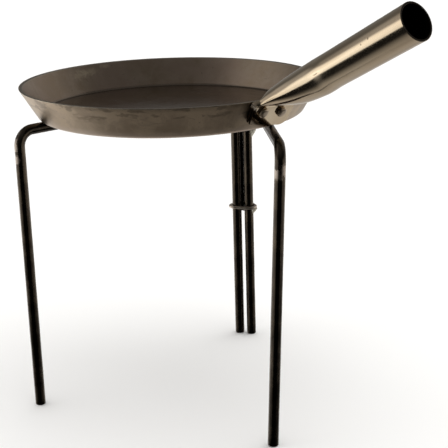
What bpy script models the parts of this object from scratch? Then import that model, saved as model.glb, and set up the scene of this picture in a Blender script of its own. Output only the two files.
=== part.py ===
# Campfire frying pan with a hollow handle socket, on a folding stand of two bent rods.
# Units are metres, +Z is up, the floor is z = 0 and the handle points along +X.

import bpy
import bmesh
import numpy as np
from math import atan2, cos, degrees, hypot, pi, radians, sin
from mathutils import Matrix, Vector

# ---------------------------------------------------------------- driving dimensions
MM = 0.001

GAP = 0.3 * MM                      # clearance kept between touching pieces

# pan: pressed dish of sheet steel
PAN_X = -66.7 * MM                  # pan axis in the part's frame
PAN_Y = -3.0 * MM
PAN_RIM_R = 115.0 * MM              # outside radius at the rim
PAN_BASE_R = 100.6 * MM             # outside radius where wall and base lines meet
PAN_DEPTH = 23.7 * MM               # rim to underside
PAN_SHEET = 2.5 * MM
PAN_CORNER_R = 4.5 * MM             # outside radius of the bend between wall and base
PAN_STEPS = 72

# stand: two upside-down U frames of round bar
ROD_D = 8.0 * MM
ARM_Z = 219.5 * MM                  # centre line of the two horizontal arms
BEND_R = 11.5 * MM                  # centre line radius of the bends
# leg centre lines in plan, measured from the pan axis: (top x, top y, foot x, foot y)
LEFT_FRONT_LEG = (-40.5 * MM, -112.3 * MM, -42.9 * MM, -108.7 * MM)
LEFT_REAR_LEG = (-47.4 * MM, 106.9 * MM, -47.4 * MM, 106.9 * MM)
RIGHT_REAR_LEG = (-38.3 * MM, 112.5 * MM, -38.3 * MM, 112.5 * MM)
RIGHT_FRONT_LEG = (138.9 * MM, -16.9 * MM, 138.0 * MM, -27.6 * MM)

# hinge: wire loops round the two rear legs and a spacer rod behind them
WIRE_D = 2.6 * MM
LOOP_CLEARANCE = 0.6 * MM           # loop wire to rod
LOWER_LOOP_Z = 117.6 * MM
UPPER_LOOP_Z = 187.5 * MM
SPACER_SETBACK = 6.45 * MM          # spacer centre behind the line of the rear legs
SPACER_TOP = 193.0 * MM
SPACER_BOTTOM = 112.5 * MM

# handle socket: slightly tapered tube, flattened at the pan end and bent down along the
# wall. It points straight out from the pan's axis.
TUBE_OD = 26.6 * MM                 # at the mouth
TUBE_TAPER = 0.074 / (100 * MM)     # share of the size lost per metre towards the pan
TUBE_WALL = 1.5 * MM
HANDLE_RISE = radians(27.7)
MOUTH_X = 242.3 * MM                # mouth centre from the pan axis
MOUTH_Z = 310.5 * MM
# the part being flattened: distance from the bend, height above the tube's axis, depth
# below it, half width. The lower side is pressed up while the top stays arched.
PRESSED = (
    (54.0 * MM, 12.6 * MM, 13.0 * MM, 12.0 * MM),
    (42.0 * MM, 12.3 * MM, 12.2 * MM, 12.4 * MM),
    (32.0 * MM, 11.9 * MM, 11.0 * MM, 12.9 * MM),
    (24.0 * MM, 11.4 * MM, 9.2 * MM, 13.7 * MM),
    (18.0 * MM, 10.9 * MM, 7.4 * MM, 14.5 * MM),
    (12.0 * MM, 10.4 * MM, 5.4 * MM, 15.2 * MM),
)
# the bend itself: lower point and upper point (out from the rim, up from the rim), height
# of the widest line above the lower point, half width, flatness
BEND = (
    (8.6 * MM, -3.8 * MM, 2.6 * MM, 8.7 * MM, 4.0 * MM, 15.8 * MM, 0.12),
    (4.8 * MM, -4.3 * MM, 1.1 * MM, 5.8 * MM, 2.6 * MM, 16.6 * MM, 0.40),
    (3.2 * MM, -4.4 * MM, 0.8 * MM, 2.7 * MM, 2.1 * MM, 17.4 * MM, 0.70),
    (2.1 * MM, -4.6 * MM, 0.6 * MM, 0.3 * MM, 1.9 * MM, 18.3 * MM, 0.92),
)
FLANGE_TOP = 3.6 * MM               # slant distance from the rim to the flat's upper end
FLANGE_BOTTOM = 20.8 * MM           # slant distance from the rim to the lower edge
FLANGE_HALF_WIDTH = 22.0 * MM        # on the side that is trimmed
FLANGE_OTHER_SIDE = 0.92            # share of it on the other side
# one side's fold is trimmed off along a line: half width left at its upper and lower end
FLANGE_TRIM = (20.1 * MM, 18.5 * MM)
FLANGE_NARROWING = 0.06             # share of the width lost towards the lower edge
FLANGE_TILT = (radians(6.0), radians(11.0))    # in the wall's plane: upper end, lower edge
FLANGE_CORNER_R = 8.0 * MM          # the lower corner on the rings' side is rounded
FLANGE_CAVITY = 0.5 * MM            # slit left between the two flattened layers
FLANGE_EDGE_T = 3.4 * MM            # half thickness of the folds at the flange's sides
SECTION_POINTS = 36

# rivets
RIVET_SHANK_D = 5.0 * MM
RIVET_HEAD_D = 7.8 * MM
RIVET_HEAD_H = 2.4 * MM
RIVET_TAIL_D = 9.0 * MM
RIVET_TAIL_H = 1.3 * MM
RIVET_LEFT = (radians(-5.26), 6.0 * MM)    # azimuth round the pan, depth below the rim
RIVET_RIGHT = (radians(4.22), 8.2 * MM)

RIM_Z = ARM_Z + ROD_D / 2 + GAP + PAN_DEPTH
BASE_Z = RIM_Z - PAN_DEPTH
WALL_SLOPE = (PAN_RIM_R - PAN_BASE_R) / PAN_DEPTH


# ---------------------------------------------------------------- scene helpers
for old in list(bpy.data.objects):
    bpy.data.objects.remove(old, do_unlink=True)

parts = bpy.data.collections.new("campfire_pan_and_stand")
cutters = bpy.data.collections.new("cutters")
bpy.context.scene.collection.children.link(parts)
bpy.context.scene.collection.children.link(cutters)


def material(name, colour, metallic, roughness):
    mat = bpy.data.materials.new(name)
    mat.use_nodes = True
    shader = mat.node_tree.nodes["Principled BSDF"]
    shader.inputs["Base Color"].default_value = (*colour, 1.0)
    shader.inputs["Metallic"].default_value = metallic
    shader.inputs["Roughness"].default_value = roughness
    return mat


def add_object(name, data, collection, mat=None):
    obj = bpy.data.objects.new(name, data)
    collection.objects.link(obj)
    if mat is not None:
        data.materials.append(mat)
    if collection is cutters:
        obj.hide_render = True
        obj.display_type = 'WIRE'
    return obj


def empty(name, location):
    obj = bpy.data.objects.new(name, None)
    obj.location = location
    obj.empty_display_size = 0.02
    parts.objects.link(obj)
    return obj


def keep_place(obj, parent):
    """Parent an object and leave it where it is."""
    obj.parent = parent
    obj.matrix_parent_inverse = parent_matrix(parent).inverted()
    return obj


def parent_matrix(obj):
    matrix = Matrix.Translation(obj.location) @ obj.rotation_euler.to_matrix().to_4x4()
    return matrix if obj.parent is None else parent_matrix(obj.parent) @ matrix


def screw(obj, steps):
    mod = obj.modifiers.new("turn", 'SCREW')
    mod.axis = 'Z'
    mod.angle = 2 * pi
    mod.steps = steps
    mod.render_steps = steps
    mod.use_merge_vertices = True
    mod.merge_threshold = 0.00001
    mod.use_smooth_shade = True
    return mod


def profile_mesh(name, points):
    """An open profile in the XZ plane, ready to be turned about Z."""
    mesh = bpy.data.meshes.new(name)
    mesh.from_pydata([(x, 0.0, z) for x, z in points],
                     [(i, i + 1) for i in range(len(points) - 1)], [])
    return mesh


def cut(obj, cutter):
    mod = obj.modifiers.new("cut_" + cutter.name, 'BOOLEAN')
    mod.operation = 'DIFFERENCE'
    mod.solver = 'EXACT'
    mod.object = cutter
    return mod


def shade_smooth(mesh, angle=radians(35)):
    mesh.shade_smooth()
    mesh.set_sharp_from_angle(angle=angle)


def fillet_path(points, radius, steps):
    """A polyline whose inner corners are replaced by arcs."""
    pts = [Vector(p) for p in points]
    out = [pts[0]]
    for before, corner, after in zip(pts, pts[1:], pts[2:]):
        a = (before - corner).normalized()
        b = (after - corner).normalized()
        half = a.angle(b) / 2
        centre = corner + (a + b).normalized() * (radius / sin(half))
        start = corner + a * (radius / np.tan(half))
        normal = (start - centre).cross((corner + b * (radius / np.tan(half))) - centre).normalized()
        sweep = pi - 2 * half
        for i in range(steps + 1):
            spin = Matrix.Rotation(sweep * i / steps, 3, normal)
            out.append(centre + spin @ (start - centre))
    out.append(pts[-1])
    return out


def rod(name, points, diameter, mat, collection=None, resolution=4, cyclic=False, chamfer=0.0):
    """A round bar along points, with small chamfers at its ends."""
    curve = bpy.data.curves.new(name, 'CURVE')
    curve.dimensions = '3D'
    curve.bevel_depth = diameter / 2
    curve.bevel_resolution = resolution
    curve.use_fill_caps = not cyclic
    pts = [Vector(p) for p in points]
    radii = [1.0] * len(pts)
    if chamfer and not cyclic:
        first = (pts[1] - pts[0]).normalized() * chamfer
        last = (pts[-2] - pts[-1]).normalized() * chamfer
        pts = [pts[0], pts[0] + first] + pts[1:-1] + [pts[-1] + last, pts[-1]]
        small = 1.0 - chamfer / (diameter / 2)
        radii = [small, 1.0] + radii[1:-1] + [1.0, small]
    spline = curve.splines.new('POLY')
    spline.points.add(len(pts) - 1)
    for point, co, radius in zip(spline.points, pts, radii):
        point.co = (*co, 1.0)
        point.radius = radius
    spline.use_cyclic_u = cyclic
    spline.use_smooth = True
    return add_object(name, curve, collection or parts, mat)


# ---------------------------------------------------------------- materials
pan_steel = material("pan_steel", (0.22, 0.19, 0.155), 0.9, 0.45)
socket_steel = material("socket_steel", (0.42, 0.37, 0.29), 1.0, 0.26)
rivet_steel = material("rivet_steel", (0.36, 0.32, 0.26), 1.0, 0.32)
left_rod_steel = material("left_rod_steel", (0.030, 0.026, 0.022), 0.8, 0.38)
right_rod_steel = material("right_rod_steel", (0.032, 0.027, 0.023), 0.8, 0.38)
spacer_steel = material("spacer_steel", (0.026, 0.023, 0.021), 0.8, 0.42)
lower_loop_steel = material("lower_loop_steel", (0.16, 0.14, 0.12), 0.9, 0.42)
upper_loop_steel = material("upper_loop_steel", (0.15, 0.13, 0.115), 0.9, 0.42)
lower_weld_steel = material("lower_weld_steel", (0.14, 0.12, 0.10), 0.9, 0.5)
upper_weld_steel = material("upper_weld_steel", (0.20, 0.19, 0.165), 0.9, 0.5)

# ---------------------------------------------------------------- joints and groups
origin = empty("stand_origin", (0, 0, 0))
fold_axis = empty("fold_axis", (PAN_X + LEFT_REAR_LEG[0], PAN_Y + LEFT_REAR_LEG[1], 0))
fold_axis.parent = origin
pan_seat = empty("pan_seat", (PAN_X, PAN_Y, BASE_Z))
pan_seat.parent = origin


# ---------------------------------------------------------------- pan
def pan_profile():
    """Radius and height from the middle of the floor over the rim to the middle of
    the underside, in the frame of the pan's seat."""
    lean = np.arctan(WALL_SLOPE)
    turn = pi / 2 - lean                       # angle swept by the corner bend
    outer_r, inner_r = PAN_CORNER_R, PAN_CORNER_R - PAN_SHEET

    # bend centre: inside of the base line and of the wall line by outer_r
    corner = outer_r * np.tan(turn / 2)
    centre = (PAN_BASE_R - corner, outer_r)
    arc = [-pi / 2 + turn * i / 6 for i in range(7)]
    outer = [(centre[0] + outer_r * cos(a), centre[1] + outer_r * sin(a)) for a in arc]
    inner = [(centre[0] + inner_r * cos(a), centre[1] + inner_r * sin(a)) for a in arc]

    wall = Vector((sin(lean), cos(lean)))      # up the wall
    level = Vector((1.0, 0.0))                 # the rim is cut level
    rim_out = Vector((PAN_RIM_R, PAN_DEPTH))
    rim_in = rim_out - level * (PAN_SHEET / cos(lean))
    soft = 0.5 * MM                            # rounding of the rim's two edges
    rim = [
        rim_in - wall * soft,
        rim_in + (level - wall) * soft * 0.3,
        rim_in + level * soft,
        rim_out - level * soft,
        rim_out - (level + wall) * soft * 0.3,
        rim_out - wall * soft,
    ]
    rim = [(p.x, p.y) for p in rim]
    points = [(0.0, PAN_SHEET)] + inner + rim + outer[::-1] + [(0.0, 0.0)]
    return points


pan = add_object("pan", profile_mesh("pan", pan_profile()), parts, pan_steel)
pan.parent = pan_seat
screw(pan, PAN_STEPS)


# ---------------------------------------------------------------- handle socket
WALL_LEAN = np.arctan(WALL_SLOPE)


def wall_frame(azimuth, depth, offset=0.0):
    """A point on the pan's outer wall and its frame: round, down and out of the wall."""
    radius = PAN_RIM_R - WALL_SLOPE * depth
    out = Vector((cos(azimuth) * cos(WALL_LEAN), sin(azimuth) * cos(WALL_LEAN), -sin(WALL_LEAN)))
    down = Vector((-cos(azimuth) * sin(WALL_LEAN), -sin(azimuth) * sin(WALL_LEAN), -cos(WALL_LEAN)))
    around = Vector((-sin(azimuth), cos(azimuth), 0.0))
    point = Vector((PAN_X + radius * cos(azimuth), PAN_Y + radius * sin(azimuth), RIM_Z - depth))
    return point + out * offset, around, down, out


FLANGE_MID_T = TUBE_WALL + FLANGE_CAVITY / 2        # half thickness of the flange's middle
WALL_BEND_R = (PAN_RIM_R - WALL_SLOPE * FLANGE_BOTTOM * cos(WALL_LEAN)) / cos(WALL_LEAN)


def smooth(t):
    t = min(max(t, 0.0), 1.0)
    return t * t * (3 - 2 * t)


def flat_half(x, half_width, behind_it):
    """Half thickness of the flattened section at x across: flat in front. The layer
    behind bends a little towards the pan's round wall, so the slit between them widens
    to the sides. Both layers close in a fold at each side."""
    body = FLANGE_MID_T
    if behind_it:
        body += 0.5 * x * x / (2 * WALL_BEND_R)
    w = abs(x) / half_width
    fold = FLANGE_EDGE_T / half_width
    if w > 1.0 - fold:
        reach = (w - 1.0 + fold) / fold
        body = min(body, FLANGE_EDGE_T * max(1.0 - reach * reach, 0.0) ** 0.5)
    return body


def section(above, below, half_width, flatness, inset):
    """Points (across, thick) of one cross-section. flatness runs from 0, round, to 1.
    inset is how far inside the outer surface the points lie."""
    n = SECTION_POINTS
    if flatness < 1.0:
        above = (above - flatness * FLANGE_MID_T) / (1 - flatness)
        below = (below - flatness * FLANGE_MID_T) / (1 - flatness)
    out = []
    for i in range(n):
        a = 2 * pi * i / n
        behind_it = a < pi
        tall = (above if behind_it else below) - inset
        round_x, round_y = (half_width - inset) * cos(a), tall * sin(a)
        # the flattened outline, walked at an even pace
        quarter = (a % pi) / pi                     # 0 at +x side, 1 at -x side
        x = half_width * cos(pi * (quarter + 0.10 * sin(2 * pi * quarter)))
        if not behind_it:
            x = -x
        y = flat_half(x, half_width, behind_it)
        y = max(y - inset, 0.0) * (1 if behind_it else -1)
        flat_x = x * (half_width - inset) / half_width * (FLANGE_OTHER_SIDE if x > 0 else 1.0)
        out.append(((1 - flatness) * round_x + flatness * flat_x,
                    (1 - flatness) * round_y + flatness * y))
    return out


def socket_stations():
    """Stations from the mouth to the flange's lower edge: centre, across, thick, height
    above the centre, depth below it, half width, flatness."""
    axis_in = Vector((-cos(HANDLE_RISE), 0.0, -sin(HANDLE_RISE)))   # towards the pan
    level = Vector((0.0, 1.0, 0.0))
    upward = Vector((-sin(HANDLE_RISE), 0.0, cos(HANDLE_RISE)))
    mouth = Vector((PAN_X + MOUTH_X, PAN_Y, MOUTH_Z))
    root, around, down, out = wall_frame(0.0, 0.0, GAP + FLANGE_MID_T)
    # where the tube's axis crosses the flange's middle plane
    length = (root - mouth).dot(out) / axis_in.dot(out)
    stations = []

    round_length = length - PRESSED[0][0]
    for t in (0.0, 0.16, 0.35, 0.54, 0.72, 0.87):
        at = round_length * t
        radius = TUBE_OD / 2 * (1 - TUBE_TAPER * at)
        stations.append((mouth + axis_in * at, level, upward, radius, radius, radius, 0.0))
    for before_bend, above, below, half_width in PRESSED:
        stations.append((mouth + axis_in * (length - before_bend), level, upward,
                         above, below, half_width, 0.0))

    rim = Vector((PAN_X + PAN_RIM_R, PAN_Y, RIM_Z))
    for low_x, low_z, high_x, high_z, centre, half_width, flatness in BEND:
        low = rim + Vector((low_x, 0.0, low_z))
        rise = Vector((high_x - low_x, 0.0, high_z - low_z))
        thick = rise.normalized()
        tilt = FLANGE_TILT[0] * flatness
        across = (around * cos(tilt) + down * sin(tilt)).normalized()
        stations.append((low + thick * centre, across, thick,
                         rise.length - centre, centre, half_width, flatness))

    for t in (0.0, 0.14, 0.38, 0.64, 0.85, 1.0):
        q = FLANGE_TOP + (FLANGE_BOTTOM - FLANGE_TOP) * t
        tilt = FLANGE_TILT[0] + (FLANGE_TILT[1] - FLANGE_TILT[0]) * t
        wide = FLANGE_HALF_WIDTH * (min(0.965 + 0.25 * t, 1.0) - FLANGE_NARROWING * t)
        stations.append((root + down * q, around * cos(tilt) + down * sin(tilt), -out,
                         FLANGE_MID_T, FLANGE_MID_T, wide, 1.0))
    return stations


def socket_mesh():
    bm = bmesh.new()
    skins = []
    for inset in (0.0, TUBE_WALL):
        rings = []
        for point, across, thick, above, below, half_width, flatness in socket_stations():
            rings.append([bm.verts.new(point + across * x + thick * y) for x, y in
                          section(above, below, half_width, flatness, inset)])
        skins.append(rings)
    outer, inner = skins
    n = SECTION_POINTS

    def band(a, b):
        for i in range(n):
            j = (i + 1) % n
            bm.faces.new((a[i], a[j], b[j], b[i]))

    for rings in (outer, inner):
        for a, b in zip(rings, rings[1:]):
            band(a, b)
    band(inner[0], outer[0])
    band(outer[-1], inner[-1])
    bmesh.ops.recalc_face_normals(bm, faces=bm.faces)
    bmesh.ops.triangulate(bm, faces=bm.faces)
    mesh = bpy.data.meshes.new("handle_socket")
    bm.to_mesh(mesh)
    bm.free()
    shade_smooth(mesh)
    return mesh


def corner_cutter():
    """A block with a round hollow side that rounds off one lower corner of the flange."""
    root, around, down, out = wall_frame(0.0, 0.0, GAP + FLANGE_MID_T)
    tilt = FLANGE_TILT[1]
    across = around * cos(tilt) + down * sin(tilt)
    along_flange = -around * sin(tilt) + down * cos(tilt)
    corner = (root + down * FLANGE_BOTTOM
              + across * FLANGE_HALF_WIDTH * FLANGE_OTHER_SIDE * (1 - FLANGE_NARROWING))
    r = FLANGE_CORNER_R
    centre = corner - across * r - along_flange * r
    outline = [centre + across * (r * cos(pi / 2 * i / 8)) + along_flange * (r * sin(pi / 2 * i / 8))
               for i in range(9)]
    outline = [outline[0] - along_flange * 0.02 * MM + across * 3 * MM] + outline
    outline += [outline[-1] + along_flange * 3 * MM, corner + (across + along_flange) * 3 * MM]
    bm = bmesh.new()
    top = [bm.verts.new(p + out * 8 * MM) for p in outline]
    bottom = [bm.verts.new(p - out * 8 * MM) for p in outline]
    bm.faces.new(top)
    bm.faces.new(bottom[::-1])
    for i in range(len(outline)):
        j = (i + 1) % len(outline)
        bm.faces.new((top[j], top[i], bottom[i], bottom[j]))
    bmesh.ops.recalc_face_normals(bm, faces=bm.faces)
    mesh = bpy.data.meshes.new("flange_corner")
    bm.to_mesh(mesh)
    bm.free()
    return add_object("flange_corner", mesh, cutters)


def edge_cutter():
    """A block that trims one side's fold, so that the two layers show with a slit
    between them."""
    root, around, down, out = wall_frame(0.0, 0.0, GAP + FLANGE_MID_T)

    def edge(t):
        tilt = FLANGE_TILT[0] + (FLANGE_TILT[1] - FLANGE_TILT[0]) * t
        across = around * cos(tilt) + down * sin(tilt)
        reach = FLANGE_TRIM[0] + (FLANGE_TRIM[1] - FLANGE_TRIM[0]) * t
        return root + down * (FLANGE_TOP + (FLANGE_BOTTOM - FLANGE_TOP) * t) - across * reach

    upper, lower = edge(0.05), edge(1.0)
    run = (lower - upper).normalized()
    beyond = run.cross(out)
    if beyond.dot(around) > 0:
        beyond = -beyond
    outline = [upper - run * 1.5 * MM, lower + run * 3 * MM,
               lower + run * 3 * MM + beyond * 5 * MM, upper - run * 1.5 * MM + beyond * 5 * MM]
    bm = bmesh.new()
    top = [bm.verts.new(p + out * 8 * MM) for p in outline]
    bottom = [bm.verts.new(p - out * 8 * MM) for p in outline]
    bm.faces.new(top)
    bm.faces.new(bottom[::-1])
    for i in range(4):
        j = (i + 1) % 4
        bm.faces.new((top[j], top[i], bottom[i], bottom[j]))
    bmesh.ops.recalc_face_normals(bm, faces=bm.faces)
    mesh = bpy.data.meshes.new("flange_edge")
    bm.to_mesh(mesh)
    bm.free()
    return add_object("flange_edge", mesh, cutters)


socket = add_object("handle_socket", socket_mesh(), parts, socket_steel)
keep_place(socket, pan_seat)
cut(socket, corner_cutter())
cut(socket, edge_cutter())


# ---------------------------------------------------------------- rivets
FLANGE_OUT = wall_frame(0.0, 0.0)[3]
FLANGE_FACE = GAP + 2 * FLANGE_MID_T                 # front of the flange, from the wall


def rivet_place(azimuth, depth):
    """The point of the flange's front plane where a rivet goes through."""
    on_wall = wall_frame(azimuth, depth)[0]
    plane = wall_frame(0.0, 0.0, FLANGE_FACE)[0]
    return on_wall + FLANGE_OUT * (plane - on_wall).dot(FLANGE_OUT)


def rivet_profile(grip):
    """Radius and height, from the top of the head to the bottom of the tail. Height 0
    is the flange's front face."""
    r, h = RIVET_HEAD_D / 2, RIVET_HEAD_H
    head = [(0.0, GAP + h)]
    for i in range(1, 6):
        a = (pi / 2) * i / 5
        head.append((r * sin(a) ** 0.75, GAP + h * (0.28 + 0.72 * cos(a) ** 0.8)))
    head.append((r, GAP))
    shank = RIVET_SHANK_D / 2
    t, k = RIVET_TAIL_D / 2, RIVET_TAIL_H
    tail = [(t, -grip), (t * 0.97, -grip - k * 0.45), (t * 0.80, -grip - k * 0.85),
            (t * 0.45, -grip - k), (0.0, -grip - k)]
    return head + [(shank, GAP), (shank, -grip)] + tail


for name, (azimuth, depth) in (("rivet_left", RIVET_LEFT), ("rivet_right", RIVET_RIGHT)):
    place = rivet_place(azimuth, depth)
    on_wall, _, _, wall_out = wall_frame(azimuth, depth)
    # flange, both gaps, sheet, and the slant of the curved wall under the tail
    slant = RIVET_TAIL_D / 2 * np.tan(wall_out.angle(FLANGE_OUT))
    grip = (place - on_wall).length + PAN_SHEET / cos(wall_out.angle(FLANGE_OUT)) + GAP + slant
    turn_up = FLANGE_OUT.to_track_quat('Z', 'Y').to_euler()

    rivet = add_object(name, profile_mesh(name, rivet_profile(grip)), parts, rivet_steel)
    rivet.location = place
    rivet.rotation_euler = turn_up
    screw(rivet, 20)
    keep_place(rivet, pan_seat)

    bpy.ops.mesh.primitive_cylinder_add(vertices=20, radius=RIVET_SHANK_D / 2 + GAP,
                                        depth=24 * MM, end_fill_type='NGON')
    hole = bpy.context.active_object
    hole.name = "hole_" + name
    for collection in list(hole.users_collection):
        collection.objects.unlink(hole)
    cutters.objects.link(hole)
    hole.hide_render = True
    hole.display_type = 'WIRE'
    hole.location = place - FLANGE_OUT * 4 * MM
    hole.rotation_euler = turn_up
    cut(pan, hole)
    cut(socket, hole)


# ---------------------------------------------------------------- stand frames
def leg_points(leg):
    top_x, top_y, foot_x, foot_y = leg
    return (Vector((PAN_X + foot_x, PAN_Y + foot_y, 0.0)),
            Vector((PAN_X + top_x, PAN_Y + top_y, ARM_Z)))


def frame_path(front, rear):
    """Foot, up, along under the pan, and down again. A leaning leg's foot is lifted so
    that its tilted end just meets the floor."""
    foot_a, top_a = leg_points(front)
    foot_b, top_b = leg_points(rear)
    end_r = ROD_D / 2 - FOOT_CHAMFER
    for foot, top in ((foot_a, top_a), (foot_b, top_b)):
        lean = (top - foot).normalized()
        foot.z += end_r * hypot(lean.x, lean.y)
    return fillet_path([foot_a, top_a, top_b, foot_b], BEND_R, 9)


FOOT_CHAMFER = 0.8 * MM

right_frame = rod("right_frame_rod", frame_path(RIGHT_FRONT_LEG, RIGHT_REAR_LEG), ROD_D,
                  right_rod_steel, chamfer=FOOT_CHAMFER)
keep_place(right_frame, origin)
left_frame = rod("left_frame_rod", frame_path(LEFT_FRONT_LEG, LEFT_REAR_LEG), ROD_D,
                 left_rod_steel, chamfer=FOOT_CHAMFER)
keep_place(left_frame, fold_axis)

# ---------------------------------------------------------------- hinge
left_leg = Vector((PAN_X + LEFT_REAR_LEG[0], PAN_Y + LEFT_REAR_LEG[1], 0.0))
right_leg = Vector((PAN_X + RIGHT_REAR_LEG[0], PAN_Y + RIGHT_REAR_LEG[1], 0.0))
along = (right_leg - left_leg).normalized()
behind = Vector((-along.y, along.x, 0.0))
spacer_at = (left_leg + right_leg) / 2 + behind * SPACER_SETBACK

spacer = rod("hinge_spacer_rod",
             [spacer_at + Vector((0, 0, SPACER_BOTTOM)), spacer_at + Vector((0, 0, SPACER_TOP))],
             ROD_D, spacer_steel, chamfer=0.6 * MM)
keep_place(spacer, origin)


def loop_points(z):
    """A closed wire wrapped round the three rods: arcs about each, joined by tangents."""
    reach = ROD_D / 2 + LOOP_CLEARANCE + WIRE_D / 2
    centres = [right_leg, spacer_at, left_leg]         # anticlockwise from above
    points = []
    for i, centre in enumerate(centres):
        before, after = centres[i - 1], centres[(i + 1) % 3]
        into, leave = (centre - before), (after - centre)
        start = atan2(into.y, into.x) - pi / 2
        sweep = (atan2(leave.y, leave.x) - pi / 2 - start) % (2 * pi)
        for k in range(9):
            a = start + sweep * k / 8
            points.append((centre.x + reach * cos(a), centre.y + reach * sin(a), z))
    return points


for name, z, mat in (("lower_hinge_ring", LOWER_LOOP_Z, lower_loop_steel),
                     ("upper_hinge_ring", UPPER_LOOP_Z, upper_loop_steel)):
    keep_place(rod(name, loop_points(z), WIRE_D, mat, resolution=2, cyclic=True), origin)


def weld_bead(name, loop_z, length, mat):
    """A fillet of weld metal under the loop, against the right frame's rear leg."""
    top = loop_z - WIRE_D / 2 - GAP
    mesh = bpy.data.meshes.new(name)
    bm = bmesh.new()
    bmesh.ops.create_uvsphere(bm, u_segments=20, v_segments=14, radius=1.0)
    bmesh.ops.scale(bm, vec=(2.9 * MM, 3.6 * MM, length), verts=bm.verts)
    bm.to_mesh(mesh)
    bm.free()
    shade_smooth(mesh)
    bead = add_object(name, mesh, parts, mat)
    bead.location = right_leg + along * (ROD_D / 2 + 1.0 * MM) + Vector((0, 0, top))
    bead.rotation_euler = (0.0, 0.0, atan2(along.y, along.x))

    bpy.ops.mesh.primitive_cylinder_add(vertices=24, radius=ROD_D / 2 + GAP, depth=60 * MM)
    leg_cutter = bpy.context.active_object
    leg_cutter.name = "leg_" + name
    leg_cutter.location = right_leg + Vector((0, 0, top))
    bpy.ops.mesh.primitive_cube_add(size=30 * MM)
    top_cutter = bpy.context.active_object
    top_cutter.name = "top_" + name
    top_cutter.location = bead.location + Vector((0, 0, 15 * MM))
    for cutter in (leg_cutter, top_cutter):
        for collection in list(cutter.users_collection):
            collection.objects.unlink(cutter)
        cutters.objects.link(cutter)
        cutter.hide_render = True
        cutter.display_type = 'WIRE'
        cut(bead, cutter)
    return keep_place(bead, origin)


weld_bead("lower_ring_weld", LOWER_LOOP_Z, 6.2 * MM, lower_weld_steel)
weld_bead("upper_ring_weld", UPPER_LOOP_Z, 9.0 * MM, upper_weld_steel)
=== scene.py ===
import math

import bmesh
import bpy
import numpy as np
from mathutils import Matrix, Vector, noise


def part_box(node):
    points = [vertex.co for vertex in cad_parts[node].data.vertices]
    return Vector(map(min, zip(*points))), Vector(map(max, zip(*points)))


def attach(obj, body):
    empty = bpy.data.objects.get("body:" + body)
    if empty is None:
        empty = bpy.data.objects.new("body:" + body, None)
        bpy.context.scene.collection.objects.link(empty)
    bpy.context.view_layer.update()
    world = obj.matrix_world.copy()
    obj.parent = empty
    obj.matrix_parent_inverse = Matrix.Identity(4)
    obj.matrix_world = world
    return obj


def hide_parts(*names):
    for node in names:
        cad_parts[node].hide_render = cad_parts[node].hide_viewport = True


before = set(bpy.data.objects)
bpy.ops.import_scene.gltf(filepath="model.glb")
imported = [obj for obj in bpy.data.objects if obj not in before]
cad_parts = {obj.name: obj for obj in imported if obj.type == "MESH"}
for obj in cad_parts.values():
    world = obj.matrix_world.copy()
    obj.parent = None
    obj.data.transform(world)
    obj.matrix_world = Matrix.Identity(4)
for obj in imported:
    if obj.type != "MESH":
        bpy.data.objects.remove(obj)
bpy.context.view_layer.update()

MM = 0.001
GAP = 0.3 * MM


# ------------------------------------------------------------------ places from the frame
pan_lo, pan_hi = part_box("pan")
PX, PY = (pan_lo.x + pan_hi.x) / 2, (pan_lo.y + pan_hi.y) / 2
BASE_Z, RIM_Z = pan_lo.z, pan_hi.z

# the sizes that the CAD uses, in metres
PAN_RIM_R, PAN_BASE_R, PAN_SHEET, PAN_CORNER_R = 0.115, 0.1006, 0.0025, 0.0045
PAN_DEPTH = RIM_Z - BASE_Z
WALL_SLOPE = (PAN_RIM_R - PAN_BASE_R) / PAN_DEPTH
LEAN = math.atan(WALL_SLOPE)

ROD_R, ARM_Z, BEND_R = 0.004, 0.2195, 0.0115
LEFT_FRONT = (-0.0405, -0.1123, -0.0429, -0.1087)
LEFT_REAR = (-0.0474, 0.1069, -0.0474, 0.1069)
RIGHT_REAR = (-0.0383, 0.1125, -0.0383, 0.1125)
RIGHT_FRONT = (0.1389, -0.0169, 0.1380, -0.0276)

WIRE_R, LOOP_CLEARANCE, SPACER_SETBACK = 0.0013, 0.0006, 0.00645
LOOPS = {"lower": 0.1176, "upper": 0.1875}
SPACER_Z = (0.1125, 0.1930)

TUBE_R, TUBE_TAPER, TUBE_WALL = 0.0133, 0.74, 0.0015
RISE = math.radians(27.7)
MOUTH_X, MOUTH_Z = 0.2423, 0.3105
PRESSED = (
    (0.054, 0.0126, 0.0130, 0.0120),
    (0.042, 0.0123, 0.0122, 0.0124),
    (0.032, 0.0119, 0.0110, 0.0129),
    (0.024, 0.0114, 0.0092, 0.0137),
    (0.018, 0.0109, 0.0074, 0.0145),
    (0.012, 0.0104, 0.0054, 0.0152),
)
BEND = (
    (0.0086, -0.0038, 0.0026, 0.0087, 0.0040, 0.0158, 0.12),
    (0.0048, -0.0043, 0.0011, 0.0058, 0.0026, 0.0166, 0.40),
    (0.0032, -0.0044, 0.0008, 0.0027, 0.0021, 0.0174, 0.70),
    (0.0021, -0.0046, 0.0006, 0.0003, 0.0019, 0.0183, 0.92),
)
FLANGE_TOP, FLANGE_BOTTOM, FLANGE_W, NARROW = 0.0036, 0.0208, 0.0220, 0.06
TRIM, OTHER_SIDE = (0.0201, 0.0185), 0.92
TILT = (math.radians(6.0), math.radians(11.0))
CORNER_R = 0.008
CAVITY, EDGE_T = 0.0005, 0.0034
MID_T = TUBE_WALL + CAVITY / 2

RIVETS = {"rivet_left": (math.radians(-5.26), 0.0060), "rivet_right": (math.radians(4.22), 0.0082)}
SHANK_R, HEAD_R, HEAD_H, TAIL_R, TAIL_H = 0.0025, 0.0039, 0.0024, 0.0045, 0.0013


# ------------------------------------------------------------------ helpers for meshes
def smooth(t):
    t = min(max(t, 0.0), 1.0)
    return t * t * (3 - 2 * t)


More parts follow.
